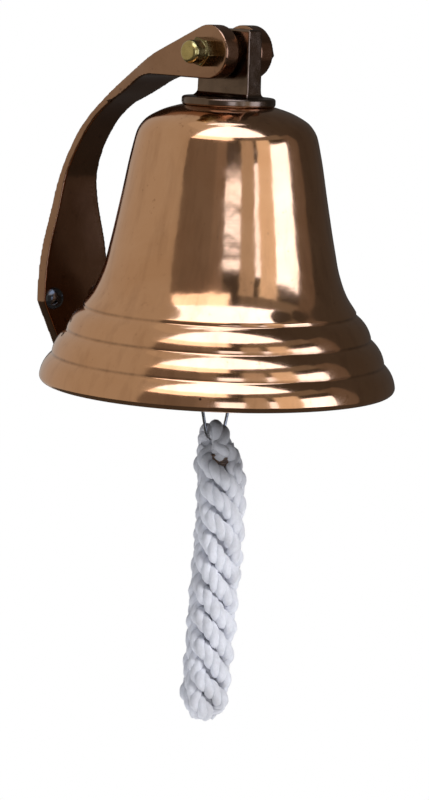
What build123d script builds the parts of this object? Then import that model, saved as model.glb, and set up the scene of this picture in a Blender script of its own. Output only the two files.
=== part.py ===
"""Wall-mounted ship bell: bracket, swinging bell, hung clapper, wire link and rope lanyard.

Row frame, in millimetres: the origin is the centre of the three-screw circle on the
bracket's back face, +Z is up, +Y points into the wall and the bell hangs towards -Y.
"""

import os
from math import asin, cos, degrees, radians, sin

from build123d import *

os.makedirs("parts", exist_ok=True)

# Driving dimensions ---------------------------------------------------------------------
mouth_dia = 152.4  # a six inch bell
bell_height = 119.4  # mouth to the seat under the collar
reach = 93.5  # wall to the bell's axis
mouth_drop = 20.5  # screw circle's centre to the mouth plane
pivot_height = 142.0  # mouth plane to the pivot bolt

# Bracket
fork_width = 29.0
fork_gap = 13.0
ear_radius = 11.3
crotch_depth = 19.0  # bell axis to the bottom of the fork
plate_thickness = 5.0
screw_circle_radius = 15.9
upper_lobe_radius = 5.7
lower_lobe_radius = 6.5
screw_hole_radius = 2.6
arm_half_width = 8.2  # at the narrowest point of the arm

# Pivot hardware
bolt_radius = 3.175
bolt_bore_radius = 3.25
hex_across_flats = 11.1
hex_turn = 12  # degrees the nut and head are turned from square
hex_chamfer = 0.5
bolt_head_height = 5.0
cap_nut_hex_height = 5.6
cap_nut_length = 12.0
cap_nut_dome_radius = 4.9
cap_nut_dome_round = 2.2
bolt_washer_radius = 6.4
bolt_washer_thickness = 1.5
thrust_washer_radius = 8.0
thrust_washer_thickness = 1.9

# Hanger
collar_radius = 19.9
collar_thickness = 3.8
collar_round = 1.2
tang_width = 28.2
tang_thickness = 8.0
tang_top = 151.8
tang_flare = 2.5
tapped_depth = 12.5  # for the eyebolt, from the collar's underside

# Crown fastening
eyebolt_radius = 4.0
eyebolt_bore_radius = 4.3
crown_underside = 114.8
crown_washer_radius = 9.0
crown_washer_thickness = 1.5
crown_nut_flats = 13.0
crown_nut_height = 6.5

# Clapper suspension
eye_ring_radius = 5.0
eye_bar_radius = 2.0
eyebolt_eye_height = 100.0
hook_wire_radius = 1.2
link_gap = 0.3  # between pieces that hang in each other
hook_length = 15.0  # between the centres of its two bends

# Clapper
clapper_rod_radius = 3.0
ball_radius = 13.0
ball_height = 16.0
tail_width = 7.0
tail_thickness = 4.0
tail_hole_radius = 1.6
tail_thread_radius = 2.5
tail_thread_depth = 7.0

# Wire link
link_wire_radius = 0.7
link_top_radius = 8.5
link_top_height = -8.0  # centre of the upper bend
link_bottom_radius = 6.0
link_bottom_height = -17.5  # centre of the lower bend

# Rope lanyard
cord_radius = 3.5
sennit_radius = 10.3
sennit_top = -28.6
sennit_bottom = -148.8
sennit_end_round = 6.0
seizing_radius = 6.6
seizing_height = 6.0

# Wall screws
screw_head_radius = 5.0
screw_head_height = 3.6
screw_shank_radius = 2.3
screw_thread_radius = 1.95
screw_thread_length = 17.0
screw_point_length = 5.0
screw_slot_width = 1.2
screw_slot_depth = 1.4

# Working planes, all through the bell's axis at the mouth plane ----------------------------
mouth_centre = (0, -reach, -mouth_drop)
side = Plane(origin=mouth_centre, x_dir=(0, 1, 0), z_dir=(1, 0, 0))  # local x is +Y, y is +Z
front = Plane(origin=mouth_centre, x_dir=(1, 0, 0), z_dir=(0, -1, 0))  # local x is +X, y is +Z
top = Plane(origin=mouth_centre, x_dir=(1, 0, 0), z_dir=(0, 0, 1))  # local x is +X, y is +Y
bell_axis = Axis(mouth_centre, (0, 0, 1))
wall = front.offset(-reach)

pivot_z = pivot_height - mouth_drop
upper_screw_x = screw_circle_radius * cos(radians(30))
upper_screw_h = mouth_drop + screw_circle_radius * sin(radians(30))
lower_screw_h = mouth_drop - screw_circle_radius
screw_points = [(-upper_screw_x, upper_screw_h), (upper_screw_x, upper_screw_h), (0, lower_screw_h)]
hook_bend_radius = eye_bar_radius + hook_wire_radius + link_gap


def across_x(x):
    """Plane square to the pivot bolt at the given X, centred on the bolt."""
    return Plane(origin=(x, -reach, pivot_z), x_dir=(0, 1, 0), z_dir=(1, 0, 0))


def finish(builder, name):
    """Label a finished piece and write it to its own file."""
    builder.part.label = name
    export_step(builder.part, f"parts/{name}.step")


# Wall bracket: a cast arm that leaves the wall plate, arches over the bell and ends in a fork --
with BuildPart() as wall_bracket:
    with BuildSketch(side):
        with BuildLine():
            back_edge = Line((reach, lower_screw_h - lower_lobe_radius), (reach, 68))
            outer_curve = Spline(
                back_edge @ 1,
                (89.9, 88.3),
                (79.3, 107.0),
                (61.6, 122.3),
                (35.2, 138.0),
                (ear_radius * cos(radians(65)), pivot_height + ear_radius * sin(radians(65))),
                tangents=((0, 1), (-cos(radians(25)), sin(radians(25)))),
            )
            ear_round = ThreePointArc(
                outer_curve @ 1, (-ear_radius, pivot_height), (0, pivot_height - ear_radius)
            )
            fork_underside = Line(ear_round @ 1, (32, pivot_height - ear_radius))
            inner_curve = Spline(
                fork_underside @ 1,
                (51.6, 123.0),
                (63.0, 116.7),
                (76.6, 104.6),
                (86.0, 88.0),
                (reach - plate_thickness, 68),
                tangents=((1, 0), (0, -1)),
            )
            front_edge = Line(
                inner_curve @ 1, (reach - plate_thickness, lower_screw_h - lower_lobe_radius)
            )
            Line(front_edge @ 1, back_edge @ 0)
        make_face()
    extrude(amount=fork_width, both=True)
    # Seen from the front: the shield-shaped plate and the narrowing lower arm.
    with BuildSketch(front):
        with BuildLine():
            right_side = Spline(
                (upper_screw_x + upper_lobe_radius, upper_screw_h),
                (17.4, 51),
                (12.2, 70),
                (9.2, 90),
                (arm_half_width, 113),
                tangents=((0, 1), (0, 1)),
            )
            Polyline(
                right_side @ 1,
                (arm_half_width, 118),
                (fork_width, 118),
                (fork_width, 165),
                (0, 165),
                (0, upper_screw_h),
                right_side @ 0,
            )
        make_face()
        mirror(about=Plane.YZ)
        with BuildSketch(mode=Mode.PRIVATE) as lobes:
            with Locations(screw_points[:2]):
                Circle(upper_lobe_radius)
            with Locations(screw_points[2]):
                Circle(lower_lobe_radius)
        make_hull(lobes.sketch.edges())
    extrude(amount=2 * reach, both=True, mode=Mode.INTERSECT)
    # Seen from above: the fork narrowing into the arm.
    with BuildSketch(top):
        with BuildLine():
            right_top = Spline(
                (fork_width / 2, 29),
                (11.8, 44.5),
                (9.5, 58),
                (arm_half_width, 73),
                tangents=((0, 1), (0, 1)),
            )
            Polyline(
                right_top @ 1,
                (arm_half_width, 79),
                (fork_width, 79),
                (fork_width, reach + 1),
                (0, reach + 1),
                (0, -2 * ear_radius),
                (fork_width / 2, -2 * ear_radius),
                right_top @ 0,
            )
        make_face()
        mirror(about=Plane.YZ)
    extrude(amount=200, both=True, mode=Mode.INTERSECT)
    with BuildSketch(top):
        with Locations((0, crotch_depth / 2 - ear_radius)):
            SlotCenterToCenter(crotch_depth + 2 * ear_radius - fork_gap, fork_gap, rotation=90)
        with Locations((0, -ear_radius)):
            Rectangle(fork_gap, 2 * ear_radius)
    extrude(amount=200, both=True, mode=Mode.SUBTRACT)
    with BuildSketch(across_x(0)):
        Circle(bolt_bore_radius)
    extrude(amount=fork_width, both=True, mode=Mode.SUBTRACT)
    with BuildSketch(wall):
        with Locations(screw_points):
            Circle(screw_hole_radius)
    extrude(amount=plate_thickness * 2, both=True, mode=Mode.SUBTRACT)
finish(wall_bracket, "wall_bracket")

# Wall screws: round heads on the plate, threads standing out behind it -----------------------
with BuildPart() as wall_screws:
    for x, h in screw_points:
        z = h - mouth_drop
        profile_plane = Plane(origin=(x, 0, z), x_dir=(1, 0, 0), z_dir=(0, 0, 1))
        with BuildSketch(profile_plane):  # local y is +Y here
            with BuildLine():
                Polyline(
                    (0, -plate_thickness - screw_head_height),
                    (0, screw_thread_length + screw_point_length),
                    (screw_thread_radius, screw_thread_length),
                    (screw_thread_radius, 0),
                    (screw_shank_radius, 0),
                    (screw_shank_radius, -plate_thickness),
                    (screw_head_radius, -plate_thickness),
                )
                ThreePointArc(
                    (screw_head_radius, -plate_thickness),
                    (0.74 * screw_head_radius, -plate_thickness - 0.7 * screw_head_height),
                    (0, -plate_thickness - screw_head_height),
                )
            make_face()
        revolve(axis=Axis((x, 0, z), (0, 1, 0)))
    with BuildSketch(front.offset(-reach + plate_thickness + screw_head_height)):
        with Locations(screw_points):
            Rectangle(2 * screw_head_radius, screw_slot_width, rotation=35)
    extrude(amount=-screw_slot_depth, mode=Mode.SUBTRACT)
finish(wall_screws, "wall_screws")

# Pivot hardware --------------------------------------------------------------------------
head_seat = fork_width / 2 + bolt_washer_thickness
cap_seat = -fork_width / 2
bolt_end = cap_seat - cap_nut_hex_height - 1.5

with BuildPart() as pivot_bolt:
    with BuildSketch(across_x(head_seat)):
        RegularPolygon(hex_across_flats / 2, 6, major_radius=False, rotation=hex_turn)
    extrude(amount=bolt_head_height)
    chamfer(pivot_bolt.edges().group_by(Axis.X)[-1], hex_chamfer)
    with BuildSketch(across_x(head_seat)):
        Circle(bolt_radius)
    extrude(amount=bolt_end - head_seat)
finish(pivot_bolt, "pivot_bolt")

with BuildPart() as bolt_washer:
    with BuildSketch(across_x(fork_width / 2)):
        Circle(bolt_washer_radius)
        Circle(bolt_bore_radius, mode=Mode.SUBTRACT)
    extrude(amount=bolt_washer_thickness)
finish(bolt_washer, "bolt_washer")

with BuildPart() as cap_nut:
    with BuildSketch(across_x(cap_seat)):
        RegularPolygon(hex_across_flats / 2, 6, major_radius=False, rotation=hex_turn)
    extrude(amount=-cap_nut_hex_height)
    chamfer(cap_nut.edges().group_by(Axis.X)[0], hex_chamfer)
    with BuildSketch(across_x(cap_seat - cap_nut_hex_height)):
        Circle(cap_nut_dome_radius)
    extrude(amount=cap_nut_hex_height - cap_nut_length)
    fillet(cap_nut.edges().group_by(Axis.X)[0], cap_nut_dome_round)
    with BuildSketch(across_x(cap_seat)):
        Circle(bolt_radius)
    extrude(amount=bolt_end - cap_seat, mode=Mode.SUBTRACT)
finish(cap_nut, "cap_nut")

with BuildPart() as thrust_washers:
    for x, way in ((-fork_gap / 2, 1), (fork_gap / 2, -1)):
        with BuildSketch(across_x(x)):
            Circle(thrust_washer_radius)
            Circle(bolt_bore_radius, mode=Mode.SUBTRACT)
        extrude(amount=way * thrust_washer_thickness)
finish(thrust_washers, "thrust_washers")

# Crown hanger: collar disc and tang in one casting, tapped from below -------------------------
with BuildPart() as crown_hanger:
    with BuildSketch(top.offset(bell_height)):
        Circle(collar_radius)
    extrude(amount=collar_thickness)
    fillet(crown_hanger.edges().filter_by(GeomType.CIRCLE), collar_round)
    with BuildSketch(top.offset(bell_height + collar_thickness - 0.5)):
        Rectangle(tang_thickness + 0.8, tang_width + 1.0)
    with BuildSketch(top.offset(tang_top)):
        Rectangle(tang_thickness - 0.2, tang_width - 0.6)
    loft()
    base_edges = crown_hanger.edges().filter_by_position(
        Axis.Z,
        bell_height + collar_thickness - mouth_drop - 0.01,
        bell_height + collar_thickness - mouth_drop + 0.01,
    )
    fillet(base_edges.filter_by(GeomType.CIRCLE, reverse=True), tang_flare)
    chamfer(crown_hanger.edges().group_by(Axis.Z)[-1], 0.6)
    with BuildSketch(across_x(0)):
        Circle(bolt_bore_radius)
    extrude(amount=fork_gap, both=True, mode=Mode.SUBTRACT)
    with BuildSketch(top.offset(bell_height)):
        Circle(eyebolt_radius)
    extrude(amount=tapped_depth, mode=Mode.SUBTRACT)
finish(crown_hanger, "crown_hanger")

# Bell shell --------------------------------------------------------------------------------
with BuildPart() as bell_body:
    with BuildSketch(front):
        with BuildLine():
            lip_round = ThreePointArc((73.8, 0), (75.6, 0.8), (mouth_dia / 2, 2.8))
            step_three = ThreePointArc(lip_round @ 1, (74.9, 7.2), (71.5, 11.6))
            wall_two = Line(step_three @ 1, (71.1, 13.0))
            step_two = ThreePointArc(wall_two @ 1, (69.2, 17.9), (65.4, 22.0))
            wall_one = Line(step_two @ 1, (65.0, 23.5))
            step_one = ThreePointArc(wall_one @ 1, (62.9, 28.2), (58.6, 32.4))
            riser = Line(step_one @ 1, (58.2, 34.0))
            waist = Spline(
                riser @ 1,
                (54.2, 40.0),
                (50.2, 50.0),
                (47.9, 60.0),
                (43.9, 80.0),
                (40.1, 100.0),
                (38.4, 107.0),
                tangents=((-0.6, 1), (-0.3, 1)),
            )
            shoulder = Spline(
                waist @ 1, (35.2, 112.3), (29.0, 116.3), (19.9, bell_height),
                tangents=((-0.3, 1), (-1, 0.28)),
            )
            Polyline(
                shoulder @ 1,
                (eyebolt_bore_radius, bell_height),
                (eyebolt_bore_radius, crown_underside),
                (24.0, crown_underside),
            )
            inner_shoulder = ThreePointArc((24.0, crown_underside), (31.6, 112.0), (35.2, 105.0))
            inner_waist = Spline(
                inner_shoulder @ 1,
                (40.2, 80.0),
                (44.4, 60.0),
                (50.6, 40.0),
                (59.4, 20.0),
                (66.8, 7.0),
                (70.3, 0),
                tangents=((0.2, -1), (0.4, -1)),
            )
            Line(inner_waist @ 1, lip_round @ 0)
        make_face()
    revolve(axis=bell_axis)
finish(bell_body, "bell_body")

# Crown fastening inside the bell ---------------------------------------------------------------
washer_underside = crown_underside - crown_washer_thickness
nut_underside = washer_underside - crown_nut_height
bar_height = eyebolt_eye_height - eye_ring_radius

with BuildPart() as crown_washer:
    with BuildSketch(top.offset(washer_underside)):
        Circle(crown_washer_radius)
        Circle(eyebolt_bore_radius, mode=Mode.SUBTRACT)
    extrude(amount=crown_washer_thickness)
finish(crown_washer, "crown_washer")

with BuildPart() as crown_nut:
    with BuildSketch(top.offset(nut_underside)):
        RegularPolygon(crown_nut_flats / 2, 6, major_radius=False)
        Circle(eyebolt_radius, mode=Mode.SUBTRACT)
    extrude(amount=crown_nut_height)
finish(crown_nut, "crown_nut")

with BuildPart() as crown_eyebolt:
    with BuildSketch(top.offset(eyebolt_eye_height + eye_ring_radius)):
        Circle(eyebolt_radius)
    extrude(amount=bell_height + tapped_depth - 0.5 - eyebolt_eye_height - eye_ring_radius)
    with BuildSketch(side):
        with Locations((0, bar_height)):
            Circle(eye_bar_radius)
    revolve(axis=Axis((0, -reach, eyebolt_eye_height - mouth_drop), (0, 1, 0)))
finish(crown_eyebolt, "crown_eyebolt")

# Clapper hook: an S of wire between the eyebolt and the clapper's eye ------------------------
lower_bend_height = bar_height - hook_length
slant = degrees(asin(2 * hook_bend_radius / hook_length))

with BuildPart() as clapper_hook:
    with BuildLine(side):
        upper_bend = CenterArc((0, bar_height), hook_bend_radius, 195, -195 - slant)
        lower_bend = CenterArc((0, lower_bend_height), hook_bend_radius, 180 - slant, 195 + slant)
        Line(upper_bend @ 1, lower_bend @ 0)
    with BuildSketch(Plane(upper_bend @ 0, z_dir=upper_bend % 0)):
        Circle(hook_wire_radius)
    sweep()
finish(clapper_hook, "clapper_hook")

# Clapper: rod with its eye, ball and tail ---------------------------------------------------------
clapper_eye_height = lower_bend_height - eye_ring_radius
link_bar_height = link_top_height + link_top_radius
tail_top = link_bar_height + tail_width / 2

with BuildPart() as clapper_rod:
    with BuildSketch(top.offset(ball_height)):
        Circle(clapper_rod_radius)
    extrude(amount=clapper_eye_height - eye_ring_radius + 0.6 - ball_height)
    with BuildSketch(side):
        with Locations((0, lower_bend_height)):
            Circle(eye_bar_radius)
    revolve(axis=Axis((0, -reach, clapper_eye_height - mouth_drop), (0, 1, 0)))
finish(clapper_rod, "clapper_rod")

with BuildPart() as clapper_tail:
    with BuildSketch(side):
        with Locations((0, link_bar_height)):
            Circle(tail_width / 2)
        with Locations((0, link_bar_height + tail_width / 4)):
            Rectangle(tail_width, tail_width / 2)
        with Locations((0, link_bar_height)):
            Circle(tail_hole_radius, mode=Mode.SUBTRACT)
    extrude(amount=tail_thickness / 2, both=True)
    with BuildSketch(top.offset(tail_top)):
        Circle(tail_thread_radius)
    extrude(amount=tail_thread_depth)
finish(clapper_tail, "clapper_tail")

with BuildPart() as clapper_ball:
    with Locations((0, -reach, ball_height - mouth_drop)):
        Sphere(ball_radius)
    with BuildSketch(top.offset(ball_height)):
        Circle(clapper_rod_radius)
    extrude(amount=ball_radius * 2, mode=Mode.SUBTRACT)
    with BuildSketch(top.offset(tail_top)):
        Rectangle(4 * tail_width, 4 * tail_width)
    extrude(amount=-ball_radius, mode=Mode.SUBTRACT)
    with BuildSketch(top.offset(tail_top)):
        Circle(tail_thread_radius)
    extrude(amount=tail_thread_depth, mode=Mode.SUBTRACT)
finish(clapper_ball, "clapper_ball")

# Wire link between the clapper's tail and the lanyard ---------------------------------------------
lean = asin((link_top_radius - link_bottom_radius) / (link_top_height - link_bottom_height))
lean_degrees = degrees(lean)

with BuildPart() as rope_link:
    with BuildLine(front):
        top_bend = CenterArc((0, link_top_height), link_top_radius, -lean_degrees, 180 + 2 * lean_degrees)
        bottom_bend = CenterArc(
            (0, link_bottom_height), link_bottom_radius, 180 + lean_degrees, 180 - 2 * lean_degrees
        )
        Line(top_bend @ 1, bottom_bend @ 0)
        Line(bottom_bend @ 1, top_bend @ 0)
    with BuildSketch(Plane(top_bend @ 0, z_dir=top_bend % 0)):
        Circle(link_wire_radius)
    sweep()
finish(rope_link, "rope_link")

# Rope lanyard: the bight over the link, its seizing and the thick plaited body ---------------------
rope_bar_height = link_bottom_height - link_bottom_radius
bight_radius = cord_radius + link_wire_radius + link_gap

with BuildPart() as rope_eye:
    with BuildLine(side):
        bight = CenterArc((0, rope_bar_height), bight_radius, 0, 180)
        Line((-bight_radius, sennit_top), bight @ 1)
        Line(bight @ 0, (bight_radius, sennit_top))
    with BuildSketch(top.offset(sennit_top)):
        with Locations((0, -bight_radius)):
            Circle(cord_radius)
    sweep()
finish(rope_eye, "rope_eye")

with BuildPart() as rope_seizing:
    with BuildSketch(top.offset(sennit_top)):
        Circle(seizing_radius)
    extrude(amount=-seizing_height)
finish(rope_seizing, "rope_seizing")

with BuildPart() as rope_lanyard:
    with BuildSketch(top.offset(sennit_top)):
        Circle(sennit_radius)
    extrude(amount=sennit_bottom - sennit_top)
    fillet(rope_lanyard.edges().group_by(Axis.Z)[0], sennit_end_round)
    with BuildSketch(top.offset(sennit_top)):
        Circle(seizing_radius)
    extrude(amount=-seizing_height, mode=Mode.SUBTRACT)
finish(rope_lanyard, "rope_lanyard")
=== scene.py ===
"""Looks for the wall-mounted ship bell, in metres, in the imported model's own frame."""

from math import atan2, cos, hypot, pi, radians, sin

import bpy
import numpy as np
from mathutils import Matrix, Vector
from mathutils import noise as turbulence


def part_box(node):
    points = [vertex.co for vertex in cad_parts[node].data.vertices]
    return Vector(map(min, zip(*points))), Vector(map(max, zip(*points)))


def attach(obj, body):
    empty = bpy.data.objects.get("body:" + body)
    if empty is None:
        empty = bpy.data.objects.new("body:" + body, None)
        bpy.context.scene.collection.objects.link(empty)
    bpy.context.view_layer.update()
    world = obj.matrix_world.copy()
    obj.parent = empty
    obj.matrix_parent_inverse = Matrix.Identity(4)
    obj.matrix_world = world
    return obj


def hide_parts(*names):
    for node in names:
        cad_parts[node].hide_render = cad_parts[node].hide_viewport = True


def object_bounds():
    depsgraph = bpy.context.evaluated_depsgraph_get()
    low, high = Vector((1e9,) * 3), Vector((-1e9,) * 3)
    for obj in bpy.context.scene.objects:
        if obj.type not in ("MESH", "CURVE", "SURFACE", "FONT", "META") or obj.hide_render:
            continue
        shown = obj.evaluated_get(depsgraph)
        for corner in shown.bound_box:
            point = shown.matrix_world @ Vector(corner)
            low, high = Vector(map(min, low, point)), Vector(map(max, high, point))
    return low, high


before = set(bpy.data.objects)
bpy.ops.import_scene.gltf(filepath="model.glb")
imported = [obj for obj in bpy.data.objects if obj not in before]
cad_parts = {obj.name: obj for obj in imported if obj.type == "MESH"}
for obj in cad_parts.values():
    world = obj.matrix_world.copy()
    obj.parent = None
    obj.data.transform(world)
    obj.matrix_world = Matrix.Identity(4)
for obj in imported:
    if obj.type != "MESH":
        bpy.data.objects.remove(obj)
cad_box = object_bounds()
scene = bpy.context.scene
mm = 0.001
up = Vector((0, 0, 1))

# Places read from the CAD ------------------------------------------------------------------
bell_low, bell_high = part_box("bell_body")
axis_x = (bell_low.x + bell_high.x) / 2
axis_y = (bell_low.y + bell_high.y) / 2
mouth_centre = Vector((axis_x, axis_y, bell_low.z))
eye_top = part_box("rope_eye")[1].z
plait_low, plait_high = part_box("rope_lanyard")
seizing_low, seizing_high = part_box("rope_seizing")
screws_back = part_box("wall_screws")[1].y

# Camera: to the left of the front and a little above the mouth -------------------------------
camera_azimuth = radians(-47)
camera_elevation = radians(8.56)
camera_distance = 1.2
camera_roll = radians(2.39)
aim_left = 0.97 * mm
aim_down = 6.39 * mm
level_right = Vector((cos(camera_azimuth), sin(camera_azimuth), 0))
to_camera = Vector(
    (
        sin(camera_azimuth) * cos(camera_elevation),
        -cos(camera_azimuth) * cos(camera_elevation),
        sin(camera_elevation),
    )
)
level_up = to_camera.cross(level_right)
camera_right = level_right * cos(camera_roll) + level_up * sin(camera_roll)
camera_up = level_up * cos(camera_roll) - level_right * sin(camera_roll)
camera_place = mouth_centre + to_camera * camera_distance
aim = mouth_centre - camera_right * aim_left - camera_up * aim_down
back = (camera_place - aim).normalized()
across = camera_up.cross(back).normalized()
upward = back.cross(across)
camera_data = bpy.data.cameras.new("camera")
camera_data.sensor_width = 36
camera_data.lens = 125.9
camera = bpy.data.objects.new("camera", camera_data)
camera.matrix_world = Matrix(
    (
        (across.x, upward.x, back.x, camera_place.x),
        (across.y, upward.y, back.y, camera_place.y),
        (across.z, upward.z, back.z, camera_place.z),
        (0, 0, 0, 1),
    )
)
scene.collection.objects.link(camera)
scene.camera = camera
scene.view_settings.view_transform = "Standard"


# Helpers: meshes ---------------------------------------------------------------------------
def mesh_object(name, points, faces):
    """A smooth-shaded mesh object in the scene."""
    mesh = bpy.data.meshes.new(name)
    mesh.from_pydata([tuple(p) for p in points], [], [tuple(f) for f in faces])
    mesh.polygons.foreach_set("use_smooth", [True] * len(mesh.polygons))
    mesh.update()
    made = bpy.data.objects.new(name, mesh)
    scene.collection.objects.link(made)
    return made


def arc(a, b, c, count):
    """Points of the circle from a through b to c, in the profile plane, without the first."""
    (ax, ay), (bx, by), (cx, cy) = a, b, c
    d = 2 * (ax * (by - cy) + bx * (cy - ay) + cx * (ay - by))
    a2, b2, c2 = ax * ax + ay * ay, bx * bx + by * by, cx * cx + cy * cy
    x = (a2 * (by - cy) + b2 * (cy - ay) + c2 * (ay - by)) / d
    y = (a2 * (cx - bx) + b2 * (ax - cx) + c2 * (bx - ax)) / d
    radius = hypot(ax - x, ay - y)
    start, middle, end = (atan2(p[1] - y, p[0] - x) for p in (a, b, c))
    turn = (end - start) % (2 * pi)
    if (middle - start) % (2 * pi) > turn:
        turn -= 2 * pi
    angles = [start + turn * i / count for i in range(1, count + 1)]
    return [(x + radius * cos(t), y + radius * sin(t)) for t in angles]


def smooth_curve(points, first, last, count):
    """Points of a smooth curve through the given ones, with end directions, without the first."""
    p = np.array(points, float)
    gaps = np.linalg.norm(np.diff(p, axis=0), axis=1)
    at = np.concatenate([[0], np.cumsum(gaps)])
    slopes = np.zeros_like(p)
    slopes[0] = np.array(first) / np.linalg.norm(first)
    slopes[-1] = np.array(last) / np.linalg.norm(last)
    for i in range(1, len(p) - 1):
        before = (p[i] - p[i - 1]) / gaps[i - 1]
        after = (p[i + 1] - p[i]) / gaps[i]
        slopes[i] = (before * gaps[i] + after * gaps[i - 1]) / (gaps[i] + gaps[i - 1])
    made = []
    for s in np.linspace(0, at[-1], count + 1)[1:]:
        i = min(int(np.searchsorted(at, s)), len(p) - 1) - 1
        t = (s - at[i]) / gaps[i]
        made.append(
            tuple(
                (2 * t**3 - 3 * t**2 + 1) * p[i]
                + (t**3 - 2 * t**2 + t) * gaps[i] * slopes[i]
                + (3 * t**2 - 2 * t**3) * p[i + 1]
                + (t**3 - t**2) * gaps[i] * slopes[i + 1]
            )
        )
    return made


def carried_frame(path):
    """Two directions square to a path, and to each other, that turn as little as they can along it."""
    along = np.gradient(path, axis=0)
    along /= np.linalg.norm(along, axis=1)[:, None]
    normal = np.cross(along[0], (0.31, 0.95, 0.11))
    normals = []
    for way in along:
        normal = normal - way * (normal @ way)
        normal /= np.linalg.norm(normal)
        normals.append(normal)
    normals = np.array(normals)
    return normals, np.cross(along, normals)


def lengths_along(path):
    """How far each point of a path is from its start, along it."""
    return np.concatenate([[0], np.cumsum(np.linalg.norm(np.diff(path, axis=0), axis=1))])


def tube(path, radius, sides):
    """A round strand along a path, with closed ends: its points, faces and (along, around) marks."""
    path = np.array(path, float)
    normals, across_path = carried_frame(path)
    points, marks = [], []
    rings_of = zip(path, normals, across_path, np.broadcast_to(radius, len(path)), lengths_along(path))
    for place, normal, side, r, travelled in rings_of:
        for k in range(sides):
            angle = 2 * pi * k / sides
            points.append(place + r * (cos(angle) * normal + sin(angle) * side))
            marks.append((float(travelled), k / sides))
    rings = len(path)
    faces = [
        (
            i * sides + k,
            i * sides + (k + 1) % sides,
            (i + 1) * sides + (k + 1) % sides,
            (i + 1) * sides + k,
        )
        for i in range(rings - 1)
        for k in range(sides)
    ]
    faces.append(tuple(reversed(range(sides))))
    faces.append(tuple(range((rings - 1) * sides, rings * sides)))
    return points, faces, marks


def joined(name, parts):
    """One mesh of several (points, faces, marks), with its marks kept as a UV map."""
    points, faces, marks = [], [], []
    for part_points, part_faces, part_marks in parts:
        first = len(points)
        points += part_points
        marks += part_marks
        faces += [tuple(first + i for i in face) for face in part_faces]
    made = mesh_object(name, points, faces)
    layer = made.data.uv_layers.new(name="UVMap")
    corner = np.zeros(len(made.data.loops), np.int32)
    made.data.loops.foreach_get("vertex_index", corner)
    layer.data.foreach_set("uv", np.array(marks, np.float32)[corner].ravel())
    return made


def stand_for(piece, body, slot, *nodes):
    """Puts a piece on a body, in place of CAD nodes."""
    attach(piece, body)
    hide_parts(*nodes)


def softened(node, name, voxel, rounds):
    """A finely meshed copy of a CAD node, with the worn round edges of a polished piece."""
    made = bpy.data.objects.new(name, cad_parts[node].data.copy())
    scene.collection.objects.link(made)
    remesh = made.modifiers.new("remesh", "REMESH")
    remesh.mode = "VOXEL"
    remesh.voxel_size = voxel
    remesh.use_smooth_shade = True
    relax = made.modifiers.new("relax", "SMOOTH")
    relax.factor = 0.5
    relax.iterations = rounds
    bpy.context.view_layer.update()
    final = bpy.data.meshes.new_from_object(
        made.evaluated_get(bpy.context.evaluated_depsgraph_get())
    )
    made.modifiers.clear()
    made.data = final
    final.materials.clear()
    final.polygons.foreach_set("use_smooth", [True] * len(final.polygons))
    final.update()
    return made


# Helpers: materials ------------------------------------------------------------------------
def set_inputs(node, values):
    for key, value in values.items():
        node.inputs[key].default_value = value


def node_of(tree, kind, inputs=None, **settings):
    """A new shader node, with its settings and its constant inputs."""
    made = tree.nodes.new(kind)
    for key, value in settings.items():
        setattr(made, key, value)
    set_inputs(made, inputs or {})
    return made


def start_material(name, **shader):
    """A new material, its tree, its shader and the place of each surface point in the object."""
    made = bpy.data.materials.new(name)
    made.use_nodes = True
    tree = made.node_tree
    principled = tree.nodes["Principled BSDF"]
    set_inputs(principled, {k.replace("_", " "): v for k, v in shader.items()})
    place = node_of(tree, "ShaderNodeTexCoord")
    return made, tree, principled, place.outputs["Object"]


def stretched(tree, vector, scale):
    mapping = node_of(tree, "ShaderNodeMapping", {"Scale": scale})
    tree.links.new(vector, mapping.inputs["Vector"])
    return mapping.outputs["Vector"]


def noise(tree, vector, scale, detail=4.0, roughness=0.55, distortion=0.0):
    made = node_of(
        tree,
        "ShaderNodeTexNoise",
        {"Scale": scale, "Detail": detail, "Roughness": roughness, "Distortion": distortion},
    )
    tree.links.new(vector, made.inputs["Vector"])
    return made.outputs["Fac"]


def ramp(tree, factor, stops):
    """Colours, or greys given as one number, blended between stops of the factor."""
    made = node_of(tree, "ShaderNodeValToRGB")
    bar = made.color_ramp
    while len(bar.elements) < len(stops):
        bar.elements.new(0.5)
    for element, (place, colour) in zip(bar.elements, stops):
        element.position = place
        element.color = (*colour, 1) if hasattr(colour, "__len__") else (colour, colour, colour, 1)
    tree.links.new(factor, made.inputs["Fac"])
    return made.outputs["Color"]


def mixed(tree, factor, a, b, blend="MIX"):
    """A blend of two colours, each a socket or a constant."""
    made = node_of(tree, "ShaderNodeMix", data_type="RGBA", blend_type=blend)
    for socket, value in ((made.inputs[0], factor), (made.inputs[6], a), (made.inputs[7], b)):
        if isinstance(value, bpy.types.NodeSocket):
            tree.links.new(value, socket)
        elif hasattr(value, "__len__"):
            socket.default_value = (*value, 1)
        else:
            socket.default_value = value
    return made.outputs[2]


def spread_to(tree, factor, low, high, from_low=0.0, from_high=1.0):
    """The factor's range from_low to from_high, mapped to low to high."""
    made = node_of(
        tree,
        "ShaderNodeMapRange",
        {"From Min": from_low, "From Max": from_high, "To Min": low, "To Max": high},
    )
    tree.links.new(factor, made.inputs["Value"])
    return made.outputs["Result"]


def bumped(tree, principled, *layers):
    """Bump layers on the shader, each a (height, strength, distance)."""
    last = None
    for height, strength, distance in layers:
        bump = node_of(tree, "ShaderNodeBump", {"Strength": strength, "Distance": distance})
        tree.links.new(height, bump.inputs["Height"])
        if last is not None:
            tree.links.new(last, bump.inputs["Normal"])
        last = bump.outputs["Normal"]
    tree.links.new(last, principled.inputs["Normal"])


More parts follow.
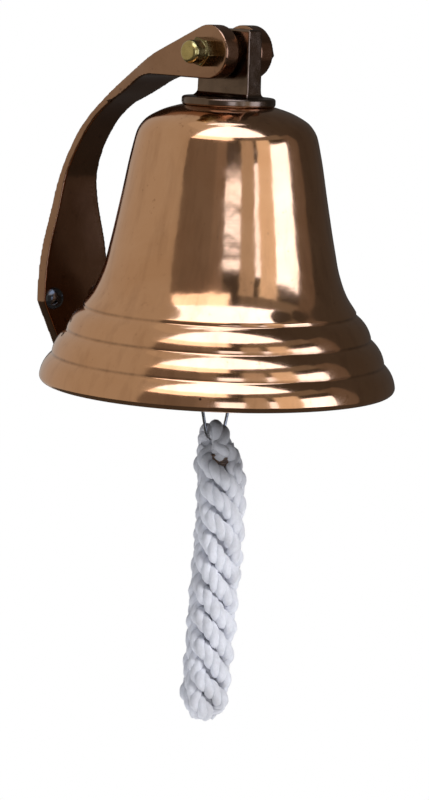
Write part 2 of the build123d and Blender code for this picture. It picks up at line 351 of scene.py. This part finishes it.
def band(tree, height, middle, half):
    """A narrow band of the height socket's value around a middle: 1 outside and 0 at its centre."""
    away = node_of(tree, "ShaderNodeMath", operation="SUBTRACT")
    tree.links.new(height, away.inputs[0])
    away.inputs[1].default_value = middle
    size = node_of(tree, "ShaderNodeMath", operation="ABSOLUTE")
    tree.links.new(away.outputs[0], size.inputs[0])
    return spread_to(tree, size.outputs[0], 0.0, 1.0, 0.0, half)


def metal(
    name, colour, dark, stain, roughness, patch=45.0, wear=0.12, brushed=(1, 1, 1), brush=0.05, waves=0.2
):
    """Polished metal: a mottled colour, faint stains, uneven gloss and fine polishing marks."""
    made, tree, principled, place = start_material(name, Metallic=1.0)
    gloss_spread = wear * 3
    mottle = noise(tree, place, patch, 5.0, 0.6, 0.4)
    spots = noise(tree, place, patch * 9, 3.0, 0.7)
    base = ramp(tree, mottle, [(0.3, dark), (0.62, colour)])
    base = mixed(tree, ramp(tree, spots, [(0.26, 1.0), (0.36, 0.0)]), base, stain)
    tree.links.new(base, principled.inputs["Base Color"])
    gloss = noise(tree, place, patch * 2.3, 4.0, 0.6)
    dull, bright = roughness * (1 + gloss_spread), roughness * (1 - gloss_spread)
    tree.links.new(spread_to(tree, gloss, bright, dull, 0.3, 0.7), principled.inputs["Roughness"])
    marks = noise(tree, stretched(tree, place, brushed), 900.0, 3.0, 0.6)
    swell = noise(tree, place, 95.0, 2.0, 0.5)
    bumped(tree, principled, (swell, waves, 0.0005), (marks, brush, 0.0001))
    return made, tree, principled, place, base


# Materials -----------------------------------------------------------------------------------
bronze = (0.81, 0.445, 0.235)
bronze_dark = (0.74, 0.385, 0.19)
groove_heights = (12.3, 22.8, 33.2)
groove_half = 0.9 * mm

bell_bronze, tree, principled, place, base = metal(
    "bell_bronze", bronze, bronze_dark, (0.6, 0.31, 0.155), 0.12, 30.0, 0.1, (0.06, 0.06, 1), 0.035
)
height = node_of(tree, "ShaderNodeSeparateXYZ")
tree.links.new(place, height.inputs[0])
# Grooves darkened along their middles: painted shade in the recesses, mixed with uneven grime
groove_grime_and_shade_noise = noise(tree, place, 160.0, 4.0, 0.65)
for groove in groove_heights:
    mask = band(tree, height.outputs["Z"], bell_low.z + groove * mm, groove_half)
    groove_shade_and_grime = spread_to(tree, groove_grime_and_shade_noise, 0.25, 0.6, 0.35, 0.65)
    shade = mixed(tree, mask, (0.16, 0.085, 0.05), base)
    base = mixed(tree, groove_shade_and_grime, base, shade)
streaks = noise(tree, stretched(tree, place, (1, 1, 0.07)), 120.0, 4.0, 0.6)
streaked = mixed(tree, 1.0, base, (0.72, 0.68, 0.66), "MULTIPLY")
base = mixed(tree, spread_to(tree, streaks, 0.0, 0.75, 0.5, 0.8), base, streaked)
pits = node_of(tree, "ShaderNodeTexVoronoi", {"Scale": 75.0, "Randomness": 1.0})
tree.links.new(place, pits.inputs["Vector"])
pit_mask = ramp(tree, pits.outputs["Distance"], [(0.025, 1.0), (0.06, 0.0)])
rare = ramp(tree, noise(tree, place, 19.0, 1.0), [(0.58, 0.0), (0.64, 1.0)])
pit_mask = mixed(tree, 1.0, pit_mask, rare, "MULTIPLY")
base = mixed(tree, pit_mask, base, (0.07, 0.04, 0.025))
tree.links.new(base, principled.inputs["Base Color"])

bell_inside, *_ = metal(
    "bell_inside", (0.46, 0.25, 0.13), (0.26, 0.14, 0.075), (0.12, 0.07, 0.04), 0.42, 60.0, 0.15,
    (0.05, 0.05, 1), 0.35,
)

bracket_bronze, tree, principled, place, base = metal(
    "bracket_bronze", (0.43, 0.235, 0.13), (0.33, 0.17, 0.092), (0.22, 0.115, 0.07), 0.2, 30.0, 0.12,
    (1, 0.12, 0.12), 0.06, 0.1,
)
# The arm's faces that look down and forward are painted darker: painted shade on the underside
facing = node_of(tree, "ShaderNodeNewGeometry").outputs["Normal"]
inward = node_of(tree, "ShaderNodeVectorMath", operation="DOT_PRODUCT")
tree.links.new(facing, inward.inputs[0])
inward.inputs[1].default_value = (0, -0.8, -0.6)
underside_shade = spread_to(tree, inward.outputs["Value"], 0.0, 0.8, 0.1, 0.7)
base = mixed(tree, underside_shade, base, mixed(tree, 1.0, base, (0.5, 0.46, 0.44), "MULTIPLY"))
tree.links.new(base, principled.inputs["Base Color"])

# A darker copy of the bracket's bronze for the crown hanger: painted shade for the tang and collar, which
# sit in the shadow of the fork and arm
shaded_hanger_bronze, *_ = metal(
    "shaded_hanger_bronze", (0.2, 0.13, 0.085), (0.12, 0.078, 0.05), (0.06, 0.04, 0.03), 0.2, 70.0, 0.15,
    (0.2, 0.2, 1), 0.08,
)

nut_brass, tree, principled, place, base = metal(
    "nut_brass", (0.62, 0.47, 0.17), (0.46, 0.34, 0.12), (0.2, 0.14, 0.06), 0.24, 160.0, 0.15,
    (1, 0.2, 0.2), 0.1,
)
# The hexagon is painted darker, and the dome past it keeps the bright brass
along_bolt = node_of(tree, "ShaderNodeSeparateXYZ")
tree.links.new(place, along_bolt.inputs[0])
hexagon_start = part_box("wall_bracket")[0].x - 5.6 * mm
hexagon_darkening = spread_to(
    tree, along_bolt.outputs["X"], 0.0, 1.0, hexagon_start - 0.8 * mm, hexagon_start + 0.6 * mm
)
base = mixed(tree, hexagon_darkening, base, mixed(tree, 1.0, base, (0.34, 0.33, 0.34), "MULTIPLY"))
tree.links.new(base, principled.inputs["Base Color"])

bolt_brass, *_ = metal(
    "bolt_brass", (0.3, 0.22, 0.12), (0.19, 0.14, 0.075), (0.09, 0.065, 0.04), 0.28, 150.0, 0.15,
    (1, 0.3, 0.3), 0.12,
)

clapper_brass, *_ = metal(
    "clapper_brass", (0.62, 0.44, 0.2), (0.46, 0.31, 0.14), (0.2, 0.13, 0.07), 0.25, 90.0, 0.15,
    (0.2, 0.2, 1), 0.12,
)

steel_wire, *_ = metal(
    "steel_wire", (0.42, 0.41, 0.39), (0.27, 0.26, 0.25), (0.2, 0.13, 0.09), 0.3, 220.0, 0.15,
    (0.3, 0.3, 1), 0.15,
)

black_screws, tree, principled, place = start_material(
    "black_screws", Metallic=0.0, Roughness=0.22, Coat_Weight=0.6, Coat_Roughness=0.08
)
chips = noise(tree, place, 900.0, 4.0, 0.7)
tree.links.new(
    ramp(tree, chips, [(0.3, (0.05, 0.035, 0.03)), (0.4, (0.008, 0.008, 0.01))]),
    principled.inputs["Base Color"],
)
bumped(tree, principled, (chips, 0.25, 0.0002))

cotton_rope, tree, principled, place = start_material(
    "cotton_rope", Roughness=0.85, Sheen_Weight=0.35, Sheen_Roughness=0.45
)
strand_marks = node_of(tree, "ShaderNodeTexCoord").outputs["UV"]
yarn_lines = stretched(tree, strand_marks, (420.0, 7.0, 1.0))
slant = node_of(tree, "ShaderNodeVectorRotate", {"Angle": radians(35)})
tree.links.new(yarn_lines, slant.inputs["Vector"])
yarn = noise(tree, slant.outputs["Vector"], 1.6, 3.0, 0.6)
fibre = noise(tree, place, 2600.0, 4.0, 0.65)
soiling = noise(tree, place, 85.0, 4.0, 0.6)
white = ramp(
    tree, soiling, [(0.3, (0.6, 0.6, 0.64)), (0.5, (0.74, 0.75, 0.81)), (0.7, (0.82, 0.83, 0.9))]
)
# Painted shade in the crevices between the yarns
shade_between_yarns = mixed(tree, 0.4, white, (0.42, 0.42, 0.46))
white = mixed(tree, spread_to(tree, yarn, 0.55, 1.0, 0.3, 0.6), shade_between_yarns, white)
rope_height = node_of(tree, "ShaderNodeSeparateXYZ")
tree.links.new(place, rope_height.inputs[0])
# Darker towards the top: painted shadow of the bell over the rope, with grime from handling
bell_shadow_and_grime = spread_to(tree, rope_height.outputs["Z"], 0.0, 0.62, eye_top - 45 * mm, eye_top - 2 * mm)
white = mixed(tree, bell_shadow_and_grime, white, mixed(tree, 1.0, white, (0.46, 0.45, 0.44), "MULTIPLY"))
tree.links.new(white, principled.inputs["Base Color"])
bumped(tree, principled, (yarn, 0.5, 0.0004), (fibre, 0.35, 0.00015))

seizing_twine, tree, principled, place = start_material("seizing_twine", Roughness=0.75)
tar = noise(tree, place, 700.0, 4.0, 0.6)
tree.links.new(
    ramp(tree, tar, [(0.3, (0.045, 0.028, 0.018)), (0.65, (0.16, 0.095, 0.055))]),
    principled.inputs["Base Color"],
)
bumped(tree, principled, (tar, 0.6, 0.0003))

# Lanyard: a thick round plait of three-strand cord, hanging from a bight over the wire link ---------
plait_radius = (plait_high.x - plait_low.x) / 2 + 0.7 * mm
cord_radius = 3.9 * mm
cord_count = 5
cord_lead = 56.0 * mm
lay_lead = 15.0 * mm
lump_length = 6.6 * mm
strand_share = 0.56
cord_circle = plait_radius - cord_radius
plait_top = plait_high.z + 1.7 * mm
plait_bottom = plait_low.z + cord_radius * 0.95
closing_length = 9 * mm
core_share = 0.72
bight_cord_radius = 4.6 * mm
bight_tuck = 4 * mm

# Listed as: (to the right as the camera sees it, height)
route_points = [
    (0.0, eye_top),
    (1.2 * mm, eye_top - 12 * mm),
    (4.2 * mm, eye_top - 28 * mm),
    (4.0 * mm, eye_top - 48 * mm),
    (2.7 * mm, eye_top - 70 * mm),
    (1.9 * mm, eye_top - 92 * mm),
    (0.9 * mm, eye_top - 114 * mm),
    (0.0, plait_low.z + 0.2 * mm),
]
route_curve = bpy.data.curves.new("lanyard_route", "CURVE")
route_curve.dimensions = "3D"
route_curve.resolution_u = 24
spline = route_curve.splines.new("NURBS")
spline.points.add(len(route_points) - 1)
for point, (aside, z) in zip(spline.points, route_points):
    point.co = (axis_x + level_right.x * aside, axis_y + level_right.y * aside, z, 1)
spline.order_u = 3
spline.use_endpoint_u = True
route_object = bpy.data.objects.new("lanyard_route", route_curve)
route_mesh = bpy.data.meshes.new_from_object(route_object)
route = np.array([v.co for v in route_mesh.vertices], float)
bpy.data.meshes.remove(route_mesh)
bpy.data.objects.remove(route_object)
route_heights = route[::-1, 2]


def route_at(z):
    """The plait's middle at a height."""
    return np.array(
        (
            np.interp(z, route_heights, route[::-1, 0]),
            np.interp(z, route_heights, route[::-1, 1]),
            z,
        )
    )


def plait_share(z):
    """How much of the cords' circle is left at a height: it closes in at both ends."""
    from_top = (plait_top - z) / closing_length
    from_end = (z - plait_low.z - cord_radius * 0.9) / closing_length
    top_share = 0.5 + 0.5 * sin(min(max(from_top, 0), 1) * pi / 2)
    end_share = 0.25 + 0.75 * sin(min(max(from_end, 0), 1) * pi / 2)
    return min(top_share, end_share)


gap_middle = seizing_high.z - 3.2 * mm
gap_half_width = 5.6 * mm
gap_half_height = 7.0 * mm
gap_bearing = camera_azimuth - pi / 2 + 0.35


def opened(angle, radius, z):
    """Cords part round the gap in front, where the seizing shows."""
    aside = ((angle - gap_bearing + pi) % (2 * pi) - pi) * radius
    over = z - gap_middle
    share = hypot(aside / gap_half_width, over / gap_half_height)
    if share >= 1 or share < 1e-6:
        return angle, z
    push = 1 / share
    return angle + aside * (push - 1) / radius, z + over * (push - 1) * 0.6


def laid_cord(path, phase, lead=lay_lead, thick=cord_radius, sides=14):
    """Three soft strands laid round a cord's path, swelling between its tucks."""
    path = np.array(path)
    normals, across_path = carried_frame(path)
    steps = lengths_along(path)
    swollen = thick * (0.97 + 0.06 * np.cos(2 * pi * steps / lump_length + phase * 2))
    strand_radius = swollen * strand_share
    circle = swollen - strand_radius
    strands = []
    for k in range(3):
        angles = phase + 2 * pi * k / 3 + 2 * pi * steps / lead
        strand = path + circle[:, None] * (
            np.cos(angles)[:, None] * normals + np.sin(angles)[:, None] * across_path
        )
        strands.append(tube(strand, strand_radius, sides))
    return strands


def drift(down, k):
    """How far a cord strays round the plait, in radians: one long wave and one short."""
    long_wave = 0.16 * sin(2 * pi * (down / (31 * mm) + k * 0.37))
    short_wave = 0.1 * sin(2 * pi * (down / (17 * mm) + k * 0.71))
    return long_wave + short_wave


def plait_cord_path(k):
    """The middle of one of the plait's cords, wound down round the route."""
    path = []
    for z in np.linspace(plait_top, plait_bottom, 230):
        down = plait_top - z
        wobble = drift(down, k)
        angle = 2 * pi * k / cord_count + 2 * pi * down / cord_lead + wobble
        square = 1 + 0.06 * cos(4 * (angle - 0.35)) + 0.04 * sin(2 * pi * down / (9.3 * mm) + 2.1 * k)
        radius = cord_circle * plait_share(z) * square
        turned, lifted = opened(angle, max(radius, 1 * mm), z)
        middle = route_at(z)
        path.append((middle[0] + radius * cos(turned), middle[1] + radius * sin(turned), lifted))
    return path


core_path = [route_at(z) for z in np.linspace(plait_top - 5 * mm, plait_low.z + 5 * mm, 60)]
lanyard_parts = [tube(core_path, cord_circle * core_share, 16)]
for k in range(cord_count):
    lanyard_parts += laid_cord(plait_cord_path(k), k * 1.7)

eye_low, eye_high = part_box("rope_eye")
bend_radius = (eye_high.y - eye_low.y) / 2 - cord_radius
bend_height = eye_top - cord_radius - bend_radius
leg_heights = np.linspace(plait_top - bight_tuck, bend_height, 14)
bight = [(axis_x, axis_y - bend_radius, z) for z in leg_heights[:-1]]
for turn in np.linspace(pi, 0, 26):
    bight.append((axis_x, axis_y + bend_radius * cos(turn), bend_height + bend_radius * sin(turn)))
bight += [
    (axis_x, axis_y + bend_radius, z)
    for z in np.linspace(bend_height, plait_top - bight_tuck, 14)[1:]
]
lanyard_parts += laid_cord(bight, 0.4, 15 * mm, bight_cord_radius)

lanyard = joined("lanyard", lanyard_parts)
# Small uneven lumps all over the strands
places = np.zeros(3 * len(lanyard.data.vertices), np.float32)
outward = np.zeros_like(places)
lanyard.data.vertices.foreach_get("co", places)
lanyard.data.vertices.foreach_get("normal", outward)
places, outward = places.reshape(-1, 3), outward.reshape(-1, 3)
lumps = [
    turbulence.noise(Vector(p) * 420) * 0.22 * mm + turbulence.noise(Vector(p) * 1300) * 0.09 * mm
    for p in places
]
lanyard.data.vertices.foreach_set("co", (places + outward * np.array(lumps)[:, None]).ravel())
lanyard.data.update()
lanyard.data.materials.append(cotton_rope)
stand_for(lanyard, "rope", "cotton_rope", "rope_lanyard", "rope_eye")

# Seizing: tarred twine wound round the plait's neck ----------------------------------------
seizing_radius = (seizing_high.x - seizing_low.x) / 2
twine_radius = 0.55 * mm
turns = 5
winding_radius = seizing_radius - twine_radius
winding_drop = seizing_high.z - seizing_low.z - 2 * twine_radius
wound = []
for t in np.linspace(0, 1, 48 * turns):
    angle = 2 * pi * turns * t
    z = seizing_high.z - twine_radius - t * winding_drop
    middle = route_at(z)
    wound.append((middle[0] + winding_radius * cos(angle), middle[1] + winding_radius * sin(angle), z))
core = [route_at(z) for z in np.linspace(seizing_low.z + 0.2 * mm, seizing_high.z - 0.2 * mm, 8)]
seizing = joined(
    "seizing", [tube(wound, twine_radius, 8), tube(core, seizing_radius - twine_radius * 1.3, 32)]
)
seizing.data.materials.append(seizing_twine)
stand_for(seizing, "rope", "seizing_twine", "rope_seizing")

# Bell: a turned shell with three rounded steps above the lip -----------------------------------------
# Profile points are (radius, height above the mouth), in millimetres
outer = [(73.8, 0.0)] + arc((73.8, 0), (75.6, 0.8), (76.2, 2.8), 12)
for foot, belly, shoulder, groove in (
    ((76.2, 2.8), (74.9, 7.2), (71.5, 11.6), [(71.32, 11.9), (71.15, 12.4), (71.1, 13.0)]),
    ((71.1, 13.0), (69.2, 17.9), (65.4, 22.0), [(65.2, 22.3), (65.05, 22.8), (65.0, 23.5)]),
    ((65.0, 23.5), (62.9, 28.2), (58.6, 32.4), [(58.42, 32.7), (58.25, 33.2), (58.2, 34.0)]),
):
    outer += arc(foot, belly, shoulder, 22) + groove
outer += smooth_curve(
    [(58.2, 34), (54.2, 40), (50.2, 50), (47.9, 60), (43.9, 80), (40.1, 100), (38.4, 107)],
    (-0.6, 1),
    (-0.3, 1),
    90,
)
outer += smooth_curve(
    [(38.4, 107), (35.2, 112.3), (29.0, 116.3), (19.9, 119.4)], (-0.3, 1), (-1, 0.28), 34
)
outer += [(12.0, 119.4), (4.3, 119.4)]
inner = [(4.3, 114.8), (14.0, 114.8), (24.0, 114.8)]
inner += arc((24.0, 114.8), (31.6, 112.0), (35.2, 105.0), 16)
inner += smooth_curve(
    [(35.2, 105), (40.2, 80), (44.4, 60), (50.6, 40), (59.4, 20), (66.8, 7), (70.3, 0)],
    (0.2, -1),
    (0.4, -1),
    80,
)
profile = outer + inner
around = 288
points, faces = [], []
for i in range(around):
    angle = 2 * pi * i / around
    for radius, h in profile:
        points.append(
            (
                axis_x + radius * mm * cos(angle),
                axis_y + radius * mm * sin(angle),
                bell_low.z + h * mm,
            )
        )
rows = len(profile)
for i in range(around):
    for j in range(rows):
        a, b = i * rows, ((i + 1) % around) * rows
        faces.append((a + j, b + j, b + (j + 1) % rows, a + (j + 1) % rows))
bell = mesh_object("bell_shell", points, faces)
bell.data.materials.append(bell_bronze)
bell.data.materials.append(bell_inside)
inside = [1 if i % rows >= len(outer) - 1 else 0 for i in range(len(faces))]
bell.data.polygons.foreach_set("material_index", inside)
stand_for(bell, "bell", "bell_bronze", "bell_body")

# Castings and hardware ---------------------------------------------------------------------------
for node, name, voxel, rounds, body, finish, slot in (
    ("wall_bracket", "bracket_casting", 0.55 * mm, 5, "bracket", bracket_bronze, "bracket_bronze"),
    ("crown_hanger", "hanger_casting", 0.3 * mm, 4, "bell", shaded_hanger_bronze, "bracket_bronze"),
    ("cap_nut", "cap_nut_polished", 0.16 * mm, 3, "bracket", nut_brass, "nut_brass"),
    ("pivot_bolt", "pivot_bolt_worn", 0.2 * mm, 3, "bracket", bolt_brass, "bolt_brass"),
    ("wall_screws", "wall_screws_japanned", 0.2 * mm, 3, "bracket", black_screws, "black_screws"),
):
    piece = softened(node, name, voxel, rounds)
    piece.data.materials.append(finish)
    stand_for(piece, body, slot, node)

# Threads of the three wall screws ----------------------------------------------------------
screw_circle = 15.9 * mm
thread_pitch = 2.4 * mm
thread_start = 1.0 * mm
thread_end = screws_back - 1.5 * mm
thread_taper = 5.5 * mm
thread_run_in = 2 * mm
thread_steps = 300
# A ridge's cross-section: (radius, shift along the screw), in millimetres
ridge = ((1.7, -0.55), (2.5, 0.0), (1.7, 0.55))


def thread_ridge(middle_x, middle_z):
    """One screw's helical ridge, running in at the start and out to the point."""
    points, faces, marks = [], [], []
    for i in range(thread_steps + 1):
        y = thread_start + (thread_end - thread_start) * i / thread_steps
        angle = 2 * pi * y / thread_pitch
        run_out = min(1, (screws_back - y) / thread_taper)
        share = run_out * min(1, 0.2 + (y - thread_start) / thread_run_in)
        for radius, shift in ridge:
            r = radius * mm * max(share, 0.12)
            place_y = y + shift * mm * 0.8
            points.append((middle_x + r * cos(angle), place_y, middle_z + r * sin(angle)))
            marks.append((y, 0.5))
        if i:
            a, b = 3 * (i - 1), 3 * i
            faces += [(a, a + 1, b + 1, b), (a + 1, a + 2, b + 2, b + 1), (a + 2, a, b, b + 2)]
    last = 3 * thread_steps
    faces += [(2, 1, 0), (last, last + 1, last + 2)]
    return points, faces, marks


threads = [
    thread_ridge(screw_circle * cos(radians(turn)), screw_circle * sin(radians(turn)))
    for turn in (30, 150, 270)
]
thread_ridges = joined("screw_threads", threads)
thread_ridges.data.materials.append(black_screws)
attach(thread_ridges, "bracket")

# CAD pieces that show as they are, with a finish each
for node, finish in {
    "bolt_washer": bolt_brass,
    "thrust_washers": bolt_brass,
    "crown_washer": bolt_brass,
    "crown_nut": bolt_brass,
    "crown_eyebolt": bolt_brass,
    "clapper_hook": steel_wire,
    "clapper_rod": clapper_brass,
    "clapper_ball": clapper_brass,
    "clapper_tail": clapper_brass,
    "rope_link": steel_wire,
}.items():
    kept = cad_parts[node]
    for material_slot in kept.material_slots:
        material_slot.link = "OBJECT"
        material_slot.material = finish

# Studio: a pale floor and soft light cards round the object ------------------------------------------
floor_height = cad_box[0].z - 0.28
reach = 30
floor_corners = ((-reach, -reach), (reach, -reach), (reach, reach), (-reach, reach))
floor = mesh_object("studio_floor", [(x, y, floor_height) for x, y in floor_corners], [(0, 1, 2, 3)])
floor_white, tree, principled, place = start_material(
    "floor_white", Roughness=0.9, Emission_Color=(1, 1, 1, 1), Emission_Strength=0.5
)
tree.links.new(
    ramp(tree, noise(tree, place, 3.0), [(0.3, (0.84, 0.84, 0.84)), (0.7, (0.88, 0.88, 0.88))]),
    principled.inputs["Base Color"],
)
floor.data.materials.append(floor_white)
floor.visible_glossy = False

# The wall shows to the camera only, and only from the front
wall_gap = 0.3 * mm
wall_corners = ((-reach, floor_height), (reach, floor_height), (reach, reach), (-reach, reach))
wall = mesh_object("studio_wall", [(x, wall_gap, z) for x, z in wall_corners], [(0, 1, 2, 3)])
wall_white = bpy.data.materials.new("wall_white")
wall_white.use_nodes = True
tree = wall_white.node_tree
front_side = node_of(tree, "ShaderNodeEmission", {"Color": (1, 1, 1, 1), "Strength": 1.0})
open_side = node_of(tree, "ShaderNodeBsdfTransparent")
which_side = node_of(tree, "ShaderNodeNewGeometry")
one_sided = node_of(tree, "ShaderNodeMixShader")
tree.links.new(which_side.outputs["Backfacing"], one_sided.inputs[0])
tree.links.new(front_side.outputs[0], one_sided.inputs[1])
tree.links.new(open_side.outputs[0], one_sided.inputs[2])
tree.links.new(one_sided.outputs[0], tree.nodes["Material Output"].inputs["Surface"])
wall.data.materials.append(wall_white)
for kind in ("glossy", "diffuse", "transmission", "shadow", "volume_scatter"):
    setattr(wall, "visible_" + kind, False)

card_distance = 2.2
card_middle = mouth_centre + Vector((0, 0, 0.07))


def card(name, start, end, low, high, strength, colour):
    """A light card, curved between two bearings from the camera's side and two elevations, in degrees."""
    columns = max(2, int(abs(end - start) / 6))
    rows_up = max(2, int(abs(high - low) / 6))
    camera_side = Vector((to_camera.x, to_camera.y, 0)).normalized()
    made, faces = [], []
    for j in range(rows_up + 1):
        lift = radians(low + (high - low) * j / rows_up)
        for i in range(columns + 1):
            bearing = radians(start + (end - start) * i / columns)
            flat = camera_side * cos(bearing) + level_right * sin(bearing)
            made.append(card_middle + (flat * cos(lift) + Vector((0, 0, sin(lift)))) * card_distance)
    for j in range(rows_up):
        for i in range(columns):
            a = j * (columns + 1) + i
            faces.append((a, a + 1, a + columns + 2, a + columns + 1))
    piece = mesh_object(name, made, faces)
    light, _, shader, _ = start_material(
        name, Roughness=1.0, Emission_Color=(*colour, 1), Emission_Strength=strength
    )
    shader.inputs["Base Color"].default_value = (0, 0, 0, 1)
    shader.inputs["Specular IOR Level"].default_value = 0
    piece.data.materials.append(light)
    piece.visible_camera = False
    piece.visible_shadow = False
    piece.visible_diffuse = False


warm = (1.0, 0.98, 0.94)
rosy = (1.0, 0.93, 0.9)
cool = (0.74, 0.9, 1.3)
for name, *span, strength, colour in (
    ("card_left_wall", -167, -50, -25, 62, 0.44, warm),
    ("card_left_ceiling", -167, -50, 62, 90, 0.52, warm),
    ("card_centre", -50, -12, -25, 33, 0.18, rosy),
    ("card_centre_edge", -12, 1, -25, 33, 0.23, rosy),
    ("card_window_one", 1, 18, -14, 17, 2.6, cool),
    ("card_between", 18, 34, -20, 33, 0.5, warm),
    ("card_window_two", 34, 39, -14, 19, 2.4, cool),
    ("card_beside", 39, 57, -20, 33, 0.9, warm),
    ("card_window_three", 57, 82, -14, 23, 3.2, cool),
    ("card_over_windows", 20, 84, 33, 46, 0.2, warm),
    ("card_right", 84, 102, -20, 40, 0.15, (1.0, 0.9, 0.86)),
    ("card_ceiling_low", -50, 9, 33, 46, 2.2, (0.95, 0.93, 1.0)),
    ("card_ceiling", -50, 62, 46, 90, 3.4, cool),
    ("card_ceiling_back", 142, 242, 74, 90, 3.0, cool),
):
    card(name, *span, strength, colour)


def soft_light(name, place, size, energy, tint=(1, 1, 1)):
    """A soft lamp that polished metal doesn't mirror, aimed at the mouth of the bell."""
    lamp = bpy.data.lights.new(name, "AREA")
    lamp.shape = "DISK"
    lamp.size = size
    lamp.energy = energy
    lamp.color = tint
    lit = bpy.data.objects.new(name, lamp)
    lit.location = place
    lit.rotation_mode = "QUATERNION"
    lit.rotation_quaternion = (place - mouth_centre).to_track_quat("Z", "Y")
    lit.visible_camera = False
    lit.visible_glossy = False
    scene.collection.objects.link(lit)


soft_light("key", mouth_centre + to_camera * 1.0 + level_right * 1.1 + up * 0.75, 0.5, 21)
fill_place = mouth_centre + to_camera * 1.0 - level_right * 1.5 + up * 0.1
soft_light("fill", fill_place, 1.2, 7, (0.9, 0.94, 1.0))
soft_light("back_fill", mouth_centre - to_camera * 1.6 + up * 0.4, 1.5, 14)

# World: a dim room for the metal to mirror, and a white view behind everything --------------
world = bpy.data.worlds.new("studio")
world.use_nodes = True
sky = world.node_tree
room = sky.nodes["Background"]
room.inputs["Color"].default_value = (0.062, 0.06, 0.058, 1)
open_view = node_of(sky, "ShaderNodeBackground", {"Color": (0.93, 0.93, 0.93, 1)})
seen = node_of(sky, "ShaderNodeLightPath")
choose = node_of(sky, "ShaderNodeMixShader")
sky.links.new(seen.outputs["Is Camera Ray"], choose.inputs[0])
sky.links.new(room.outputs[0], choose.inputs[1])
sky.links.new(open_view.outputs[0], choose.inputs[2])
sky.links.new(choose.outputs[0], sky.nodes["World Output"].inputs["Surface"])
scene.world = world

bpy.context.view_layer.update()
